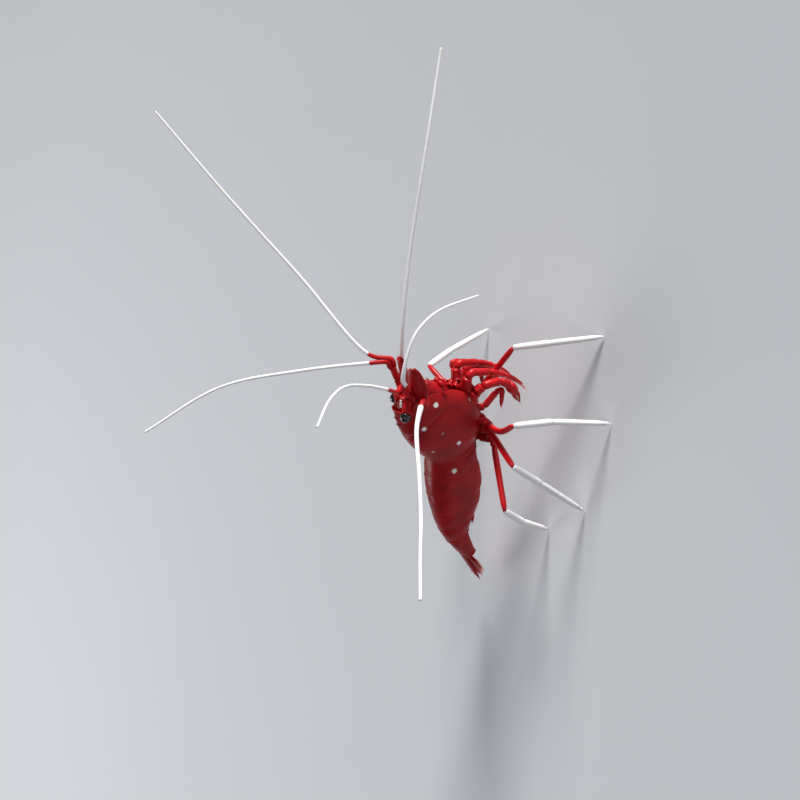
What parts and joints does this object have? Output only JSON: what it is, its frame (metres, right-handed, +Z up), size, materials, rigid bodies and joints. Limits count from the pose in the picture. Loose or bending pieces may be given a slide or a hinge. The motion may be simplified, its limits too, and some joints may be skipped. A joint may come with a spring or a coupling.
{
  "type": "scarlet cleaner shrimp",
  "caption": "Life-size still model of a deep red cleaner shrimp with white spots, white lower legs and long white feelers, standing on the tips of its walking legs",
  "frame": {"origin": "On the floor, under the middle of the whole outline's box", "axes": "+Z up from the floor; -Y the way the head points; +X the animal's left side"},
  "size_m": [0.0774, 0.0878, 0.0642],
  "materials": {
    "shell_red": "glossy, deep scarlet shell",
    "limb_red": "satin, clear scarlet limbs",
    "bone_white": "satin white legs and feelers",
    "eye_black": "wet, nearly black"
  },
  "bodies": {
    "root": {"carapace": "shell_red", "thorax_underside": "shell_red", "mouthparts": "shell_red", "head_front": "shell_red", "abdomen_1": "shell_red", "abdomen_2": "shell_red", "abdomen_3": "shell_red", "abdomen_4": "shell_red", "abdomen_5": "shell_red", "abdomen_6": "shell_red", "telson": "shell_red", "tail_blade_inner_right": "shell_red", "tail_blade_outer_right": "shell_red", "swimmeret_1_right": "shell_red", "swimmeret_2_right": "shell_red", "swimmeret_3_right": "shell_red", "swimmeret_4_right": "shell_red", "swimmeret_5_right": "shell_red", "tail_blade_inner_left": "shell_red", "tail_blade_outer_left": "shell_red", "swimmeret_1_left": "shell_red", "swimmeret_2_left": "shell_red", "swimmeret_3_left": "shell_red", "swimmeret_4_left": "shell_red", "swimmeret_5_left": "shell_red", "eyestalk_right": "limb_red", "antennule_stalk_right": "limb_red", "antenna_stalk_right": "limb_red", "antenna_scale_right": "limb_red", "maxilliped_right": "limb_red", "claw_leg_right": "limb_red", "slender_leg_right": "limb_red", "walking_leg_1_right_upper": "limb_red", "walking_leg_2_right_upper": "limb_red", "walking_leg_3_right_upper": "limb_red", "eyestalk_left": "limb_red", "antennule_stalk_left": "limb_red", "antenna_stalk_left": "limb_red", "antenna_scale_left": "limb_red", "maxilliped_left": "limb_red", "claw_leg_left": "limb_red", "slender_leg_left": "limb_red", "walking_leg_1_left_upper": "limb_red", "walking_leg_2_left_upper": "limb_red", "walking_leg_3_left_upper": "limb_red", "walking_leg_1_right_lower": "bone_white", "walking_leg_2_right_lower": "bone_white", "walking_leg_3_right_lower": "bone_white", "walking_leg_1_left_lower": "bone_white", "walking_leg_2_left_lower": "bone_white", "walking_leg_3_left_lower": "bone_white", "antennule_outer_left": "bone_white", "antennule_inner_left": "bone_white", "antennule_inner_right": "bone_white", "antennule_outer_right": "bone_white", "antenna_left": "bone_white", "antenna_right": "bone_white", "eye_right": "eye_black", "eye_left": "eye_black"}
  },
  "joints": []
}
